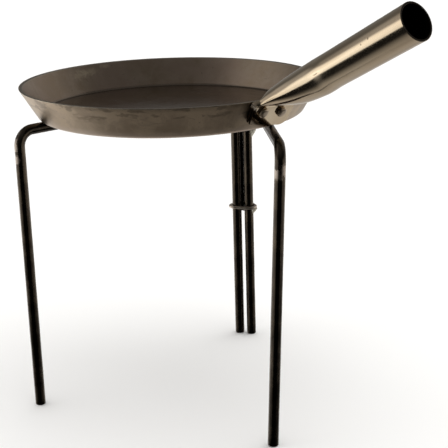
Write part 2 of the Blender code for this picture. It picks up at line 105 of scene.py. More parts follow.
def make(name, verts, faces, sharp=math.radians(32)):
    """A closed mesh object with outward faces and smooth shading apart from sharp edges."""
    mesh = bpy.data.meshes.new(name)
    mesh.from_pydata([tuple(v) for v in verts], [], faces)
    bm = bmesh.new()
    bm.from_mesh(mesh)
    bmesh.ops.remove_doubles(bm, verts=bm.verts, dist=1e-7)
    bmesh.ops.recalc_face_normals(bm, faces=bm.faces)
    bm.to_mesh(mesh)
    bm.free()
    mesh.shade_smooth()
    mesh.set_sharp_from_angle(angle=sharp)
    obj = bpy.data.objects.new(name, mesh)
    bpy.context.scene.collection.objects.link(obj)
    return obj


def skin(rings, closed=True, wrap=False):
    """Quads between rings of points. Returns verts and faces."""
    n = len(rings[0])
    verts = [p for ring in rings for p in ring]
    faces = []
    pairs = [(k, k + 1) for k in range(len(rings) - 1)]
    if wrap:
        pairs.append((len(rings) - 1, 0))
    for a, b in pairs:
        for i in range(n if closed else n - 1):
            j = (i + 1) % n
            faces.append((a * n + i, a * n + j, b * n + j, b * n + i))
    return verts, faces


def lathe(name, profile, place, steps, sharp=math.radians(32)):
    """Turns (radius, height) points about the Z axis of place. Both ends are on the axis."""
    verts, faces = [], []
    ring_of = []
    for r, h in profile:
        if r < 1e-9:
            ring_of.append([len(verts)])
            verts.append(place @ Vector((0, 0, h)))
        else:
            ring_of.append(list(range(len(verts), len(verts) + steps)))
            for i in range(steps):
                a = 2 * math.pi * i / steps
                verts.append(place @ Vector((r * math.cos(a), r * math.sin(a), h)))
    for a, b in zip(ring_of, ring_of[1:]):
        for i in range(steps):
            j = (i + 1) % steps
            if len(a) == 1:
                faces.append((a[0], b[i], b[j]))
            elif len(b) == 1:
                faces.append((a[i], a[j], b[0]))
            else:
                faces.append((a[i], a[j], b[j], b[i]))
    return make(name, verts, faces, sharp)


def arc(cx, cy, r, a0, a1, steps):
    return [(cx + r * math.cos(a0 + (a1 - a0) * i / steps),
             cy + r * math.sin(a0 + (a1 - a0) * i / steps)) for i in range(steps + 1)]


def fillet_path(points, radius, steps):
    pts = [Vector(p) for p in points]
    out = [pts[0]]
    for before, corner, after in zip(pts, pts[1:], pts[2:]):
        a = (before - corner).normalized()
        b = (after - corner).normalized()
        half = a.angle(b) / 2
        centre = corner + (a + b).normalized() * (radius / math.sin(half))
        start = corner + a * (radius / math.tan(half))
        end = corner + b * (radius / math.tan(half))
        normal = (start - centre).cross(end - centre).normalized()
        sweep = math.pi - 2 * half
        for i in range(steps + 1):
            out.append(centre + Matrix.Rotation(sweep * i / steps, 3, normal) @ (start - centre))
    out.append(pts[-1])
    return out


def refine(points, step):
    """Extra points on the long straight runs of a path."""
    out = [points[0]]
    for a, b in zip(points, points[1:]):
        n = max(1, int(round((b - a).length / step)))
        for i in range(1, n + 1):
            out.append(a.lerp(b, i / n))
    return out


def sweep(name, path, radius, sides, round_end=0.0, uneven=None, cyclic=False):
    """A round bar along a path, with rounded end edges. uneven(point) adds to the radius."""
    pts = [Vector(p) for p in path]
    radii = [radius] * len(pts)
    if round_end and not cyclic:
        a = (pts[1] - pts[0]).normalized()
        b = (pts[-2] - pts[-1]).normalized()
        head, head_r, tail, tail_r = [], [], [], []
        for i in range(5):
            t = math.pi / 2 * i / 4
            back = round_end * (1 - math.sin(t))
            small = radius - round_end * (1 - math.cos(math.pi / 2 - t))
            head.append(pts[0] + a * back)
            head_r.append(small)
        order = sorted(zip([round_end * (1 - math.sin(math.pi / 2 * i / 4)) for i in range(5)],
                           [radius - round_end * (1 - math.cos(math.pi / 2 * i / 4)) for i in range(5)]))
        head = [pts[0] + a * d for d, _ in order]
        tail = [pts[-1] + b * d for d, _ in reversed(order)]
        head_r = [r for _, r in order]
        tail_r = [r for _, r in reversed(order)]
        pts = head + pts[1:-1] + tail
        radii = head_r + radii[1:-1] + tail_r
    n = len(pts)
    tangents = []
    for i in range(n):
        if cyclic:
            d = pts[(i + 1) % n] - pts[i - 1]
        else:
            d = pts[min(i + 1, n - 1)] - pts[max(i - 1, 0)]
        tangents.append(d.normalized())
    side = tangents[0].orthogonal().normalized()
    if cyclic:
        side = Vector((0, 0, 1))
    rings = []
    for p, t, r in zip(pts, tangents, radii):
        side = (side - t * side.dot(t)).normalized()
        up = t.cross(side)
        ring = []
        for i in range(sides):
            a = 2 * math.pi * i / sides
            d = side * math.cos(a) + up * math.sin(a)
            rr = r
            if uneven is not None and r > radius * 0.98:
                rr += uneven(p + d * r, d)
            ring.append(p + d * rr)
        rings.append(ring)
    verts, faces = skin(rings, wrap=cyclic)
    if not cyclic:
        faces.append(tuple(range(sides)))
        faces.append(tuple(range((n - 1) * sides, n * sides)))
    return make(name, verts, faces)


def pchip(t, knots, values):
    """Smooth interpolation through knots that never overshoots."""
    knots = np.asarray(knots, float)
    values = np.asarray(values, float)
    h = np.diff(knots)
    d = np.diff(values, axis=0) / h[:, None]
    m = np.zeros_like(values)
    m[0], m[-1] = d[0], d[-1]
    for i in range(1, len(knots) - 1):
        w1, w2 = 2 * h[i] + h[i - 1], h[i] + 2 * h[i - 1]
        for k in range(values.shape[1]):
            if d[i - 1, k] * d[i, k] > 0:
                m[i, k] = (w1 + w2) / (w1 / d[i - 1, k] + w2 / d[i, k])
    out = []
    for x in t:
        i = min(max(int(np.searchsorted(knots, x)) - 1, 0), len(h) - 1)
        s = (x - knots[i]) / h[i]
        h00, h10 = 2 * s**3 - 3 * s**2 + 1, s**3 - 2 * s**2 + s
        h01, h11 = -2 * s**3 + 3 * s**2, s**3 - s**2
        out.append(h00 * values[i] + h10 * h[i] * m[i] + h01 * values[i + 1] + h11 * h[i] * m[i + 1])
    return np.array(out)


def place(obj, body, slot, material, *nodes):
    obj.data.materials.clear()
    obj.data.materials.append(material)
    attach(obj, body)
    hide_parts(*nodes)
    return obj


# ------------------------------------------------------------------ helpers for materials
class Nodes:
    """A small builder for node materials."""

    def __init__(self, name):
        self.mat = bpy.data.materials.new(name)
        self.mat.use_nodes = True
        self.tree = self.mat.node_tree
        self.bsdf = self.tree.nodes["Principled BSDF"]
        coord = self.tree.nodes.new("ShaderNodeTexCoord")
        self.coord = coord.outputs["Object"]

    def link(self, a, b):
        self.tree.links.new(a, b)

    def value(self, node, index, item):
        if isinstance(item, (int, float)):
            node.inputs[index].default_value = item
        elif isinstance(item, (tuple, list)):
            node.inputs[index].default_value = item
        else:
            self.link(item, node.inputs[index])

    def math(self, op, a, b=0.0, c=None, clamp=False):
        n = self.tree.nodes.new("ShaderNodeMath")
        n.operation = op
        n.use_clamp = clamp
        self.value(n, 0, a)
        self.value(n, 1, b)
        if c is not None:
            self.value(n, 2, c)
        return n.outputs[0]

    def vector(self, op, a, b=(0, 0, 0)):
        n = self.tree.nodes.new("ShaderNodeVectorMath")
        n.operation = op
        self.value(n, 0, a)
        if op == 'SCALE':
            n.inputs["Scale"].default_value = b
        else:
            self.value(n, 1, b)
        return n.outputs["Value"] if op in ('LENGTH', 'DISTANCE', 'DOT_PRODUCT') else n.outputs[0]

    def tree_vector(self, axis, amount):
        """axis, a fixed direction, times amount, a socket."""
        n = self.tree.nodes.new("ShaderNodeVectorMath")
        n.operation = 'SCALE'
        n.inputs[0].default_value = tuple(axis)
        self.link(amount, n.inputs["Scale"])
        return n.outputs[0]

    def join(self, x, y):
        n = self.tree.nodes.new("ShaderNodeCombineXYZ")
        self.link(x, n.inputs[0])
        self.link(y, n.inputs[1])
        return n.outputs[0]

    def split(self, v):
        n = self.tree.nodes.new("ShaderNodeSeparateXYZ")
        self.link(v, n.inputs[0])
        return n.outputs

    def noise(self, scale, detail=4.0, rough=0.55, coord=None, stretch=None, distort=0.0):
        v = coord or self.coord
        if stretch:
            m = self.tree.nodes.new("ShaderNodeMapping")
            m.inputs["Scale"].default_value = stretch
            self.link(v, m.inputs["Vector"])
            v = m.outputs[0]
        n = self.tree.nodes.new("ShaderNodeTexNoise")
        n.inputs["Scale"].default_value = scale
        n.inputs["Detail"].default_value = detail
        n.inputs["Roughness"].default_value = rough
        n.inputs["Distortion"].default_value = distort
        self.link(v, n.inputs["Vector"])
        return n.outputs["Fac"]

    def ramp(self, x, lo, hi, out_lo=0.0, out_hi=1.0, soft=True):
        n = self.tree.nodes.new("ShaderNodeMapRange")
        n.interpolation_type = 'SMOOTHSTEP' if soft else 'LINEAR'
        self.value(n, 0, x)
        for k, v in zip((1, 2, 3, 4), (lo, hi, out_lo, out_hi)):
            n.inputs[k].default_value = v
        return n.outputs[0]

    def mix(self, f, a, b, kind='MIX'):
        n = self.tree.nodes.new("ShaderNodeMix")
        n.data_type = 'RGBA'
        n.blend_type = kind
        n.clamp_factor = True
        self.value(n, 0, f)
        for k, c in ((6, a), (7, b)):
            if isinstance(c, tuple):
                n.inputs[k].default_value = (*c, 1.0) if len(c) == 3 else c
            else:
                self.link(c, n.inputs[k])
        return n.outputs[2]

    def bump(self, height, strength, distance, normal=None):
        n = self.tree.nodes.new("ShaderNodeBump")
        n.inputs["Strength"].default_value = strength
        n.inputs["Distance"].default_value = distance
        self.link(height, n.inputs["Height"])
        if normal is not None:
            self.link(normal, n.inputs["Normal"])
        return n.outputs[0]

    def done(self, colour, roughness, normal=None, metallic=1.0, specular=None):
        self.link(colour, self.bsdf.inputs["Base Color"])
        self.link(roughness, self.bsdf.inputs["Roughness"])
        if normal is not None:
            self.link(normal, self.bsdf.inputs["Normal"])
        self.bsdf.inputs["Metallic"].default_value = metallic
        if specular is not None:
            self.bsdf.inputs["Specular IOR Level"].default_value = specular
        return self.mat


# ------------------------------------------------------------------ materials
def pan_material():
    n = Nodes("pan_carbon_steel")
    local = n.vector('SUBTRACT', n.coord, (PX, PY, BASE_Z))
    x, y, z = n.split(local)
    radius = n.vector('LENGTH', n.vector('MULTIPLY', local, (1, 1, 0)))
    blotch = n.noise(46, 5, 0.62, distort=0.5)
    cloud = n.noise(17, 4, 0.55, distort=0.8)
    smear = n.noise(60, 4, 0.6, stretch=(1.0, 1.0, 3.0), distort=0.3)
    speck = n.noise(360, 3, 0.62)
    fine = n.noise(1400, 2, 0.5)
    grain = n.noise(900, 3, 0.65, stretch=(0.08, 1.0, 1.0))
    colour = n.mix(n.ramp(blotch, 0.34, 0.68), (0.335, 0.262, 0.190), (0.445, 0.368, 0.288))
    colour = n.mix(n.ramp(cloud, 0.44, 0.66, 0, 0.6), colour, (0.43, 0.335, 0.275))
    colour = n.mix(n.ramp(cloud, 0.46, 0.30, 0, 0.5), colour, (0.31, 0.262, 0.205))
    # outer wall: 1 outside, 0 inside
    outside = n.ramp(n.math('SUBTRACT', radius, n.math('MULTIPLY', z, WALL_SLOPE)),
                     PAN_BASE_R - 0.0018, PAN_BASE_R - 0.0010)
    tint = n.math('MULTIPLY', outside, n.ramp(blotch, 0.38, 0.62, 0.35, 1.0))
    colour = n.mix(n.math('MULTIPLY', tint, 0.80), colour, (0.655, 0.530, 0.385))
    # handling marks on the outside: dark, in a broken band under the rim
    marks = n.math('MULTIPLY', n.ramp(smear, 0.52, 0.60), n.ramp(z, 0.009, 0.016))
    marks = n.math('MULTIPLY', marks, outside)
    colour = n.mix(n.math('MULTIPLY', marks, 0.50), colour, (0.17, 0.130, 0.095))
    # a paler band at the foot, where the wall bends into the base
    foot = n.math('MULTIPLY', outside, n.ramp(z, 0.0060, 0.0015))
    colour = n.mix(n.math('MULTIPLY', foot, 0.55), colour, (0.66, 0.55, 0.47))
    # soot specks
    dots = n.math('MULTIPLY', n.ramp(speck, 0.62, 0.72), n.ramp(blotch, 0.36, 0.58))
    colour = n.mix(n.math('MULTIPLY', dots, 0.50), colour, (0.13, 0.104, 0.082))
    # inside: pale rubbed smudges on the far wall
    for at, size, strength in (((-0.1085, -0.0076, 0.0172), 0.0062, 0.30),
                               ((-0.1088, 0.0013, 0.0186), 0.0050, 0.24),
                               ((-0.1098, 0.0174, 0.0215), 0.0030, 0.30)):
        offset = n.vector('SUBTRACT', local, at)
        far = n.vector('LENGTH', n.vector('MULTIPLY', offset, (1.0, 0.55, 1.6)))
        rag = n.math('MULTIPLY', n.math('SUBTRACT', n.noise(260, 5, 0.7, distort=1.0), 0.5), size * 2.6)
        hit = n.ramp(n.math('ADD', far, rag), size * 1.3, size * 0.1)
        hit = n.math('MULTIPLY', hit, n.math('SUBTRACT', 1.0, outside))
        colour = n.mix(n.math('MULTIPLY', hit, strength), colour, (0.95, 0.84, 0.62))
    # painted highlight: a bright band along the rim's rounded edge
    rim = n.ramp(z, PAN_DEPTH - 0.0008, PAN_DEPTH - 0.0003)
    colour = n.mix(n.math('MULTIPLY', rim, 0.45), colour, (0.60, 0.56, 0.47))
    on_floor = n.math('MULTIPLY', n.ramp(z, 0.0042, 0.0034), n.math('SUBTRACT', 1.0, outside))
    # painted shade: the floor is darkened in a ring towards the wall, for the wall's shade and dark reflection on the
    # floor
    wander = n.math('ADD', radius, n.math('MULTIPLY', n.math('SUBTRACT', blotch, 0.5), 0.030))
    painted_floor_shade = n.math('MULTIPLY', n.ramp(wander, 0.052, 0.090), on_floor)
    colour = n.mix(n.math('MULTIPLY', painted_floor_shade, 0.60), colour, (0.120, 0.100, 0.085))
    rough = n.math('ADD', n.ramp(blotch, 0.3, 0.7, 0.35, 0.45), n.ramp(fine, 0.3, 0.7, -0.03, 0.03))
    rough = n.math('SUBTRACT', rough, n.math('MULTIPLY', on_floor, 0.20))
    colour = n.mix(n.math('MULTIPLY', on_floor, 0.30), colour, (0.24, 0.195, 0.155))
    normal = n.bump(grain, 0.25, 0.00004)
    normal = n.bump(blotch, 0.45, 0.0003, normal)
    return n.done(colour, rough, normal)


def socket_material():
    n = Nodes("brushed_socket_steel")
    # coordinates along the tube's axis, so that the brushing runs lengthwise
    m = n.tree.nodes.new("ShaderNodeMapping")
    m.vector_type = 'POINT'
    m.inputs["Rotation"].default_value = (0.0, RISE, 0.0)
    n.link(n.coord, m.inputs["Vector"])
    along_tube = m.outputs[0]
    brushed = n.noise(1300, 3, 0.6, coord=along_tube, stretch=(0.015, 1.0, 1.0))
    soft = n.noise(55, 3, 0.5, coord=along_tube, stretch=(0.25, 1.0, 1.0))
    blotch = n.noise(120, 3, 0.5)
    colour = n.mix(n.ramp(soft, 0.35, 0.70), (0.62, 0.505, 0.365), (0.70, 0.590, 0.440))
    colour = n.mix(n.ramp(blotch, 0.50, 0.75, 0, 0.18), colour, (0.56, 0.44, 0.32))
    colour = n.mix(n.ramp(brushed, 0.40, 0.75, 0, 0.15), colour, (0.50, 0.40, 0.285))
    # two small dark pits on the side that faces the rings' side away, near the mouth
    mouth = (PX + MOUTH_X, PY, MOUTH_Z)
    axis = Vector((-math.cos(RISE), 0.0, -math.sin(RISE)))
    side = Vector((0.067, -0.990, -0.125))
    up = Vector((-0.460, -0.142, 0.876))
    for back, turn, size in ((0.0305, 21.0, 0.0011), (0.0375, 16.0, 0.0009)):
        t = math.radians(turn)
        at = Vector(mouth) + axis * back + (side * math.cos(t) + up * math.sin(t)) * 0.0131
        far = n.vector('DISTANCE', n.coord, tuple(at))
        colour = n.mix(n.ramp(far, size, size * 0.4, 0, 0.6), colour, (0.12, 0.085, 0.055))
    # the flattened end: a painted reflection of the black bar below it, dark outside a patch round the rivets, and at
    # that patch's edge a pale painted line for the bar's lit rim
    across = Vector((0.0, 1.0, 0.0)) * math.cos(math.radians(8.5)) + FLANGE_DOWN * math.sin(math.radians(8.5))
    on_flange = n.vector('SUBTRACT', n.coord, tuple(FLANGE_ROOT))
    fx = n.vector('DOT_PRODUCT', on_flange, tuple(across))
    fd = n.math('SUBTRACT', n.vector('DOT_PRODUCT', on_flange, tuple(FLANGE_DOWN)),
                n.math('ADD', n.math('MULTIPLY', fx, math.sin(math.radians(8.5))), FLANGE_TOP))
    ring = n.vector('LENGTH', n.join(n.math('SUBTRACT', fx, -0.0060), n.math('SUBTRACT', fd, 0.0035)))
    past_ring = n.math('SUBTRACT', ring, 0.0102)
    past_run = n.math('SUBTRACT', n.math('SUBTRACT', fd, 0.0137), n.math('MULTIPLY', n.math('ADD', fx, 0.0060), 0.42))
    side = n.ramp(fx, -0.0062, -0.0058)
    past = n.math('ADD', n.math('MULTIPLY', past_ring, n.math('SUBTRACT', 1.0, side)),
                  n.math('MULTIPLY', past_run, side))
    here = n.math('MULTIPLY', n.ramp(fd, 0.0005, 0.0030), n.ramp(fx, 0.006, 0.002))
    here = n.math('MULTIPLY', here, n.ramp(fx, -0.0192, -0.0184))
    painted_bar_reflection = n.math('MULTIPLY', n.ramp(past, 0.0, 0.0007), here)
    painted_bar_rim_glint = n.math('MULTIPLY', n.math('MULTIPLY', n.ramp(past, -0.0009, -0.0003), n.ramp(past, 0.0003, 0.0)), here)
    # painted reflection: a pale line for the bar's lit edge, and the bar's dark mirror image beyond it
    colour = n.mix(n.math('MULTIPLY', painted_bar_rim_glint, 0.45), colour, (0.92, 0.84, 0.70))
    colour = n.mix(n.math('MULTIPLY', painted_bar_reflection, 0.90), colour, (0.085, 0.062, 0.045))
    # paler cut edges on that side
    cut_face = n.math('MULTIPLY', n.ramp(fx, -0.0168, -0.0176), n.math('SUBTRACT', 1.0, here))
    cut_face = n.math('MULTIPLY', cut_face, n.ramp(fd, -0.001, 0.002))
    colour = n.mix(n.math('MULTIPLY', cut_face, 0.8), colour, (0.93, 0.87, 0.78))
    # painted shade: the bore and the cut end at the mouth are darkened
    inward = n.vector('DOT_PRODUCT', n.vector('SUBTRACT', n.coord, mouth), tuple(axis))
    foot = n.vector('SCALE', n.tree_vector(axis, inward), 1.0)
    radial = n.vector('LENGTH', n.vector('SUBTRACT', n.vector('SUBTRACT', n.coord, mouth), foot))
    bore_shade = n.ramp(n.math('ADD', radial, n.math('MULTIPLY', inward, TUBE_TAPER * TUBE_R)),
                  TUBE_R - 0.00035, TUBE_R - 0.00060)
    bore_shade = n.math('MULTIPLY', bore_shade, n.ramp(inward, 0.078, 0.070))
    end = n.ramp(inward, 0.00012, 0.00002)
    dark = n.math('MAXIMUM', bore_shade, end)
    # painted shade darkens the bore and the end face
    colour = n.mix(n.math('MULTIPLY', dark, 0.97), colour, (0.030, 0.024, 0.019))
    rough = n.math('ADD', n.ramp(brushed, 0.3, 0.7, 0.10, 0.14), n.ramp(blotch, 0.35, 0.7, 0.0, 0.03))
    rough = n.math('ADD', rough, n.math('MULTIPLY', dark, 0.3))
    rough = n.math('ADD', rough, n.math('MULTIPLY', cut_face, 0.35))
    normal = n.bump(brushed, 0.12, 0.00002)
    normal = n.bump(soft, 0.20, 0.0002, normal)
    return n.done(colour, rough, normal)


def rivet_material():
    n = Nodes("rivet_plain_steel")
    patch = n.noise(350, 4, 0.6)
    fine = n.noise(2200, 3, 0.6)
    colour = n.mix(n.ramp(patch, 0.38, 0.66), (0.40, 0.325, 0.245), (0.56, 0.475, 0.37))
    rough = n.ramp(patch, 0.3, 0.7, 0.30, 0.42)
    normal = n.bump(patch, 0.5, 0.00015)
    normal = n.bump(fine, 0.3, 0.00004, normal)
    return n.done(colour, rough, normal)


def rod_material(name, scuffs, seed):
    """Black oxidised bar. scuffs are (point, size) of the places rubbed pale."""
    n = Nodes(name)
    moved = n.vector('ADD', n.coord, (seed, seed * 0.7, 0))
    streak = n.noise(420, 4, 0.6, coord=moved, stretch=(1.0, 1.0, 0.10))
    patch = n.noise(70, 4, 0.6, coord=moved)
    fine = n.noise(1500, 3, 0.6, coord=moved)
    colour = n.mix(n.ramp(patch, 0.35, 0.70), (0.055, 0.046, 0.038), (0.115, 0.093, 0.070))
    colour = n.mix(n.ramp(streak, 0.55, 0.78, 0, 0.5), colour, (0.19, 0.158, 0.120))
    # the bar is darker towards its lower end
    _, _, z = n.split(n.coord)
    low = n.ramp(z, 0.14, 0.05)
    colour = n.mix(n.math('MULTIPLY', low, 0.35), colour, (0.055, 0.046, 0.038))
    rough = n.ramp(patch, 0.3, 0.7, 0.20, 0.30)
    worn = None
    for centre, size in scuffs:
        far = n.vector('DISTANCE', n.coord, centre)
        rag = n.math('MULTIPLY', n.math('SUBTRACT', n.noise(330, 4, 0.7, coord=moved), 0.5), size * 2.4)
        hit = n.ramp(n.math('ADD', far, rag), size * 1.05, size * 0.6)
        worn = hit if worn is None else n.math('MAXIMUM', worn, hit)
    if worn is not None:
        colour = n.mix(n.math('MULTIPLY', worn, 0.85), colour, (0.46, 0.40, 0.35))
        rough = n.math('ADD', rough, n.math('MULTIPLY', worn, 0.12))
    normal = n.bump(patch, 0.5, 0.0003)
    normal = n.bump(fine, 0.25, 0.00005, normal)
    return n.done(colour, rough, normal)


def loop_material():
    n = Nodes("loop_wire_steel")
    patch = n.noise(260, 4, 0.6)
    fine = n.noise(1800, 3, 0.6)
    colour = n.mix(n.ramp(patch, 0.35, 0.68), (0.60, 0.52, 0.45), (0.84, 0.75, 0.66))
    rough = n.ramp(patch, 0.3, 0.7, 0.32, 0.46)
    normal = n.bump(fine, 0.3, 0.00005)
    return n.done(colour, rough, normal)


def weld_material():
    n = Nodes("weld_metal")
    patch = n.noise(420, 4, 0.65)
    fine = n.noise(1500, 3, 0.6)
    colour = n.mix(n.ramp(patch, 0.36, 0.66), (0.40, 0.36, 0.28), (0.72, 0.69, 0.59))
    rough = n.ramp(patch, 0.3, 0.7, 0.34, 0.55)
    normal = n.bump(patch, 0.6, 0.0003)
    normal = n.bump(fine, 0.3, 0.00006, normal)
    return n.done(colour, rough, normal, metallic=0.45)


# ------------------------------------------------------------------ pan
def pan_profile():
    turn = math.pi / 2 - LEAN
    outer_r, inner_r = PAN_CORNER_R, PAN_CORNER_R - PAN_SHEET
    corner = outer_r * math.tan(turn / 2)
    cx, cz = PAN_BASE_R - corner, outer_r
    outer = arc(cx, cz, outer_r, -math.pi / 2, -math.pi / 2 + turn, 16)
    inner = arc(cx, cz, inner_r, -math.pi / 2, -math.pi / 2 + turn, 16)
    wall = Vector((math.sin(LEAN), math.cos(LEAN)))
    level = Vector((1.0, 0.0))
    rim_out = Vector((PAN_RIM_R, PAN_DEPTH))
    rim_in = rim_out - level * (PAN_SHEET / math.cos(LEAN))
    soft = 0.5 * MM
    rim = []
    for i in range(5):
        t = i / 4
        rim.append((rim_in - wall * soft).lerp(rim_in + level * soft, t).lerp(
            (rim_in - wall * soft * (1 - t) ** 2 + level * soft * t * t), 1.0))
    for i in range(5):
        t = i / 4
        rim.append(rim_out - level * soft * (1 - t) ** 2 - wall * soft * t * t)
    steps_in = [Vector(inner[-1]).lerp(rim[0], k / 6) for k in range(1, 6)]
    steps_out = [rim[-1].lerp(Vector(outer[-1]), k / 6) for k in range(1, 6)]
    floor = [(cx * k / 8, PAN_SHEET) for k in range(1, 8)]
    under = [(cx * k / 8, 0.0) for k in range(7, 0, -1)]
    pts = [(0.0, PAN_SHEET)] + floor + inner + [tuple(p) for p in steps_in + rim + steps_out]
    return pts + outer[::-1] + under + [(0.0, 0.0)]


pan = lathe("pan_dish", pan_profile(), Matrix.Translation((PX, PY, BASE_Z)), 320)


# ------------------------------------------------------------------ handle socket
def wall_frame(azimuth, depth, offset=0.0):
    radius = PAN_RIM_R - WALL_SLOPE * depth
    out = Vector((math.cos(azimuth) * math.cos(LEAN), math.sin(azimuth) * math.cos(LEAN), -math.sin(LEAN)))
    down = Vector((-math.cos(azimuth) * math.sin(LEAN), -math.sin(azimuth) * math.sin(LEAN), -math.cos(LEAN)))
    around = Vector((-math.sin(azimuth), math.cos(azimuth), 0.0))
    point = Vector((PX + radius * math.cos(azimuth), PY + radius * math.sin(azimuth), RIM_Z - depth))
    return point + out * offset, around, down, out


WALL_BEND_R = (PAN_RIM_R - WALL_SLOPE * FLANGE_BOTTOM * math.cos(LEAN)) / math.cos(LEAN)


def flat_half(x, half_width, behind_it):
    """Half thickness of the flattened part. Its layer behind bends towards the pan's
    round wall, so the slit widens to the sides, where both layers close in a fold."""
    body = MID_T
    if behind_it:
        body += 0.5 * x * x / (2 * WALL_BEND_R)
    w = abs(x) / half_width
    fold = EDGE_T / half_width
    if w > 1.0 - fold:
        reach = (w - 1.0 + fold) / fold
        body = min(body, EDGE_T * max(1.0 - reach * reach, 0.0) ** 0.5)
    return body


def section(above, below, half_width, flatness, inset, n):
    if flatness < 1.0:
        above = (above - flatness * MID_T) / (1 - flatness)
        below = (below - flatness * MID_T) / (1 - flatness)
    out = []
    for i in range(n):
        a = 2 * math.pi * i / n
        behind_it = a < math.pi
        tall = (above if behind_it else below) - inset
        round_x, round_y = (half_width - inset) * math.cos(a), tall * math.sin(a)
        quarter = (a % math.pi) / math.pi
        x = half_width * math.cos(math.pi * (quarter + 0.10 * math.sin(2 * math.pi * quarter)))
        if not behind_it:
            x = -x
        y = flat_half(x, half_width, behind_it)
        y = max(y - inset, 0.0) * (1 if behind_it else -1)
        flat_x = x * (half_width - inset) / half_width * (OTHER_SIDE if x > 0 else 1.0)
        out.append(((1 - flatness) * round_x + flatness * flat_x,
                    (1 - flatness) * round_y + flatness * y))
    return out


def socket_stations():
    axis_in = Vector((-math.cos(RISE), 0.0, -math.sin(RISE)))
    level = Vector((0.0, 1.0, 0.0))
    upward = Vector((-math.sin(RISE), 0.0, math.cos(RISE)))
    mouth = Vector((PX + MOUTH_X, PY, MOUTH_Z))
    root, around, down, out = wall_frame(0.0, 0.0, GAP + MID_T)
    length = (root - mouth).dot(out) / axis_in.dot(out)
    rows = []

    def row(centre, across, thick, above, below, half_width, flatness, low):
        rows.append([*centre, *across, *thick, above, below, half_width, flatness, low])

    round_length = length - PRESSED[0][0]
    for t in (0.0, 0.16, 0.35, 0.54, 0.72, 0.87):
        at = round_length * t
        r = TUBE_R * (1 - TUBE_TAPER * at)
        row(mouth + axis_in * at, level, upward, r, r, r, 0.0, 0.0)
    for before, above, below, half_width in PRESSED:
        row(mouth + axis_in * (length - before), level, upward, above, below, half_width, 0.0, 0.0)
    rim = Vector((PX + PAN_RIM_R, PY, RIM_Z))
    for low_x, low_z, high_x, high_z, centre, half_width, flatness in BEND:
        low = rim + Vector((low_x, 0.0, low_z))
        rise = Vector((high_x - low_x, 0.0, high_z - low_z))
        thick = rise.normalized()
        tilt = TILT[0] * flatness
        across = (around * math.cos(tilt) + down * math.sin(tilt)).normalized()
        row(low + thick * centre, across, thick, rise.length - centre, centre, half_width, flatness, 0.0)
    for t in (0.0, 0.14, 0.38, 0.64, 0.85, 1.0):
        q = FLANGE_TOP + (FLANGE_BOTTOM - FLANGE_TOP) * t
        tilt = TILT[0] + (TILT[1] - TILT[0]) * t
        wide = FLANGE_W * (min(0.965 + 0.25 * t, 1.0) - NARROW * t)
        row(root + down * q, around * math.cos(tilt) + down * math.sin(tilt), -out,
            MID_T, MID_T, wide, 1.0, t)
    return np.array(rows)


def socket_object():
    rows = socket_stations()
    steps = np.linalg.norm(np.diff(rows[:, :3], axis=0), axis=1)
    knots = np.concatenate([[0.0], np.cumsum(steps)])
    marks = [0.0, 0.00025]
    for a, b in zip(knots, knots[1:]):
        k = max(3, int(math.ceil((b - a) / 0.0016)))
        marks += [a + (b - a) * i / k for i in range(1, k + 1)]
    marks = sorted(set(marks))
    fine = pchip(marks, knots, rows)
    n = 144
    skins = []
    for inset in (0.0, TUBE_WALL):
        rings = []
        for number, r in enumerate(fine):
            centre, across, thick = Vector(r[0:3]), Vector(r[3:6]).normalized(), Vector(r[6:9]).normalized()
            above, below, half_width, flatness, low = r[9:14]
            soft = 0.0
            if number == 0:
                soft = 0.00025 if inset == 0.0 else -0.00025
            pts = section(above, below, half_width, min(flatness, 1.0), inset + soft, n)
            rings.append([centre + across * x + thick * y for x, y in pts])
        skins.append(rings)
    outer, inner = skins
    verts, faces = skin(outer + inner[::-1], wrap=True)
    # the loop of rings runs out along the outside and back along the inside, and closes
    # over the mouth's edge and over the flange's lower edge
    return make("socket_tube", verts, faces, math.radians(40))


socket = socket_object()


def flange_cutter():
    """The block that rounds off the flange's lower right corner."""
    root, around, down, out = wall_frame(0.0, 0.0, GAP + MID_T)
    across = around * math.cos(TILT[1]) + down * math.sin(TILT[1])
    along = -around * math.sin(TILT[1]) + down * math.cos(TILT[1])
    corner = root + down * FLANGE_BOTTOM + across * FLANGE_W * OTHER_SIDE * (1 - NARROW)
    r = CORNER_R
    centre = corner - across * r - along * r
    outline = [centre + across * (r * math.cos(math.pi / 2 * i / 20)) + along * (r * math.sin(math.pi / 2 * i / 20))
               for i in range(21)]
    outline = [outline[0] - along * 0.02 * MM + across * 3 * MM] + outline
    outline += [outline[-1] + along * 3 * MM, corner + (across + along) * 3 * MM]
    n = len(outline)
    verts = [p + out * 8 * MM for p in outline] + [p - out * 8 * MM for p in outline]
    faces = [tuple(range(n)), tuple(range(2 * n - 1, n - 1, -1))]
    faces += [((i + 1) % n, i, n + i, n + (i + 1) % n) for i in range(n)]
    return make("cutter", verts, faces)


def carve(obj, cutter):
    """Takes the cutter's volume away from obj for good, and removes the cutter."""
    mod = obj.modifiers.new("carve", 'BOOLEAN')
    mod.operation = 'DIFFERENCE'
    mod.solver = 'EXACT'
    mod.object = cutter
    bpy.context.view_layer.update()
    dg = bpy.context.evaluated_depsgraph_get()
    mesh = bpy.data.meshes.new_from_object(obj.evaluated_get(dg))
    obj.modifiers.clear()
    obj.data = mesh
    bpy.data.objects.remove(cutter, do_unlink=True)
    mesh.shade_smooth()
    mesh.set_sharp_from_angle(angle=math.radians(40))


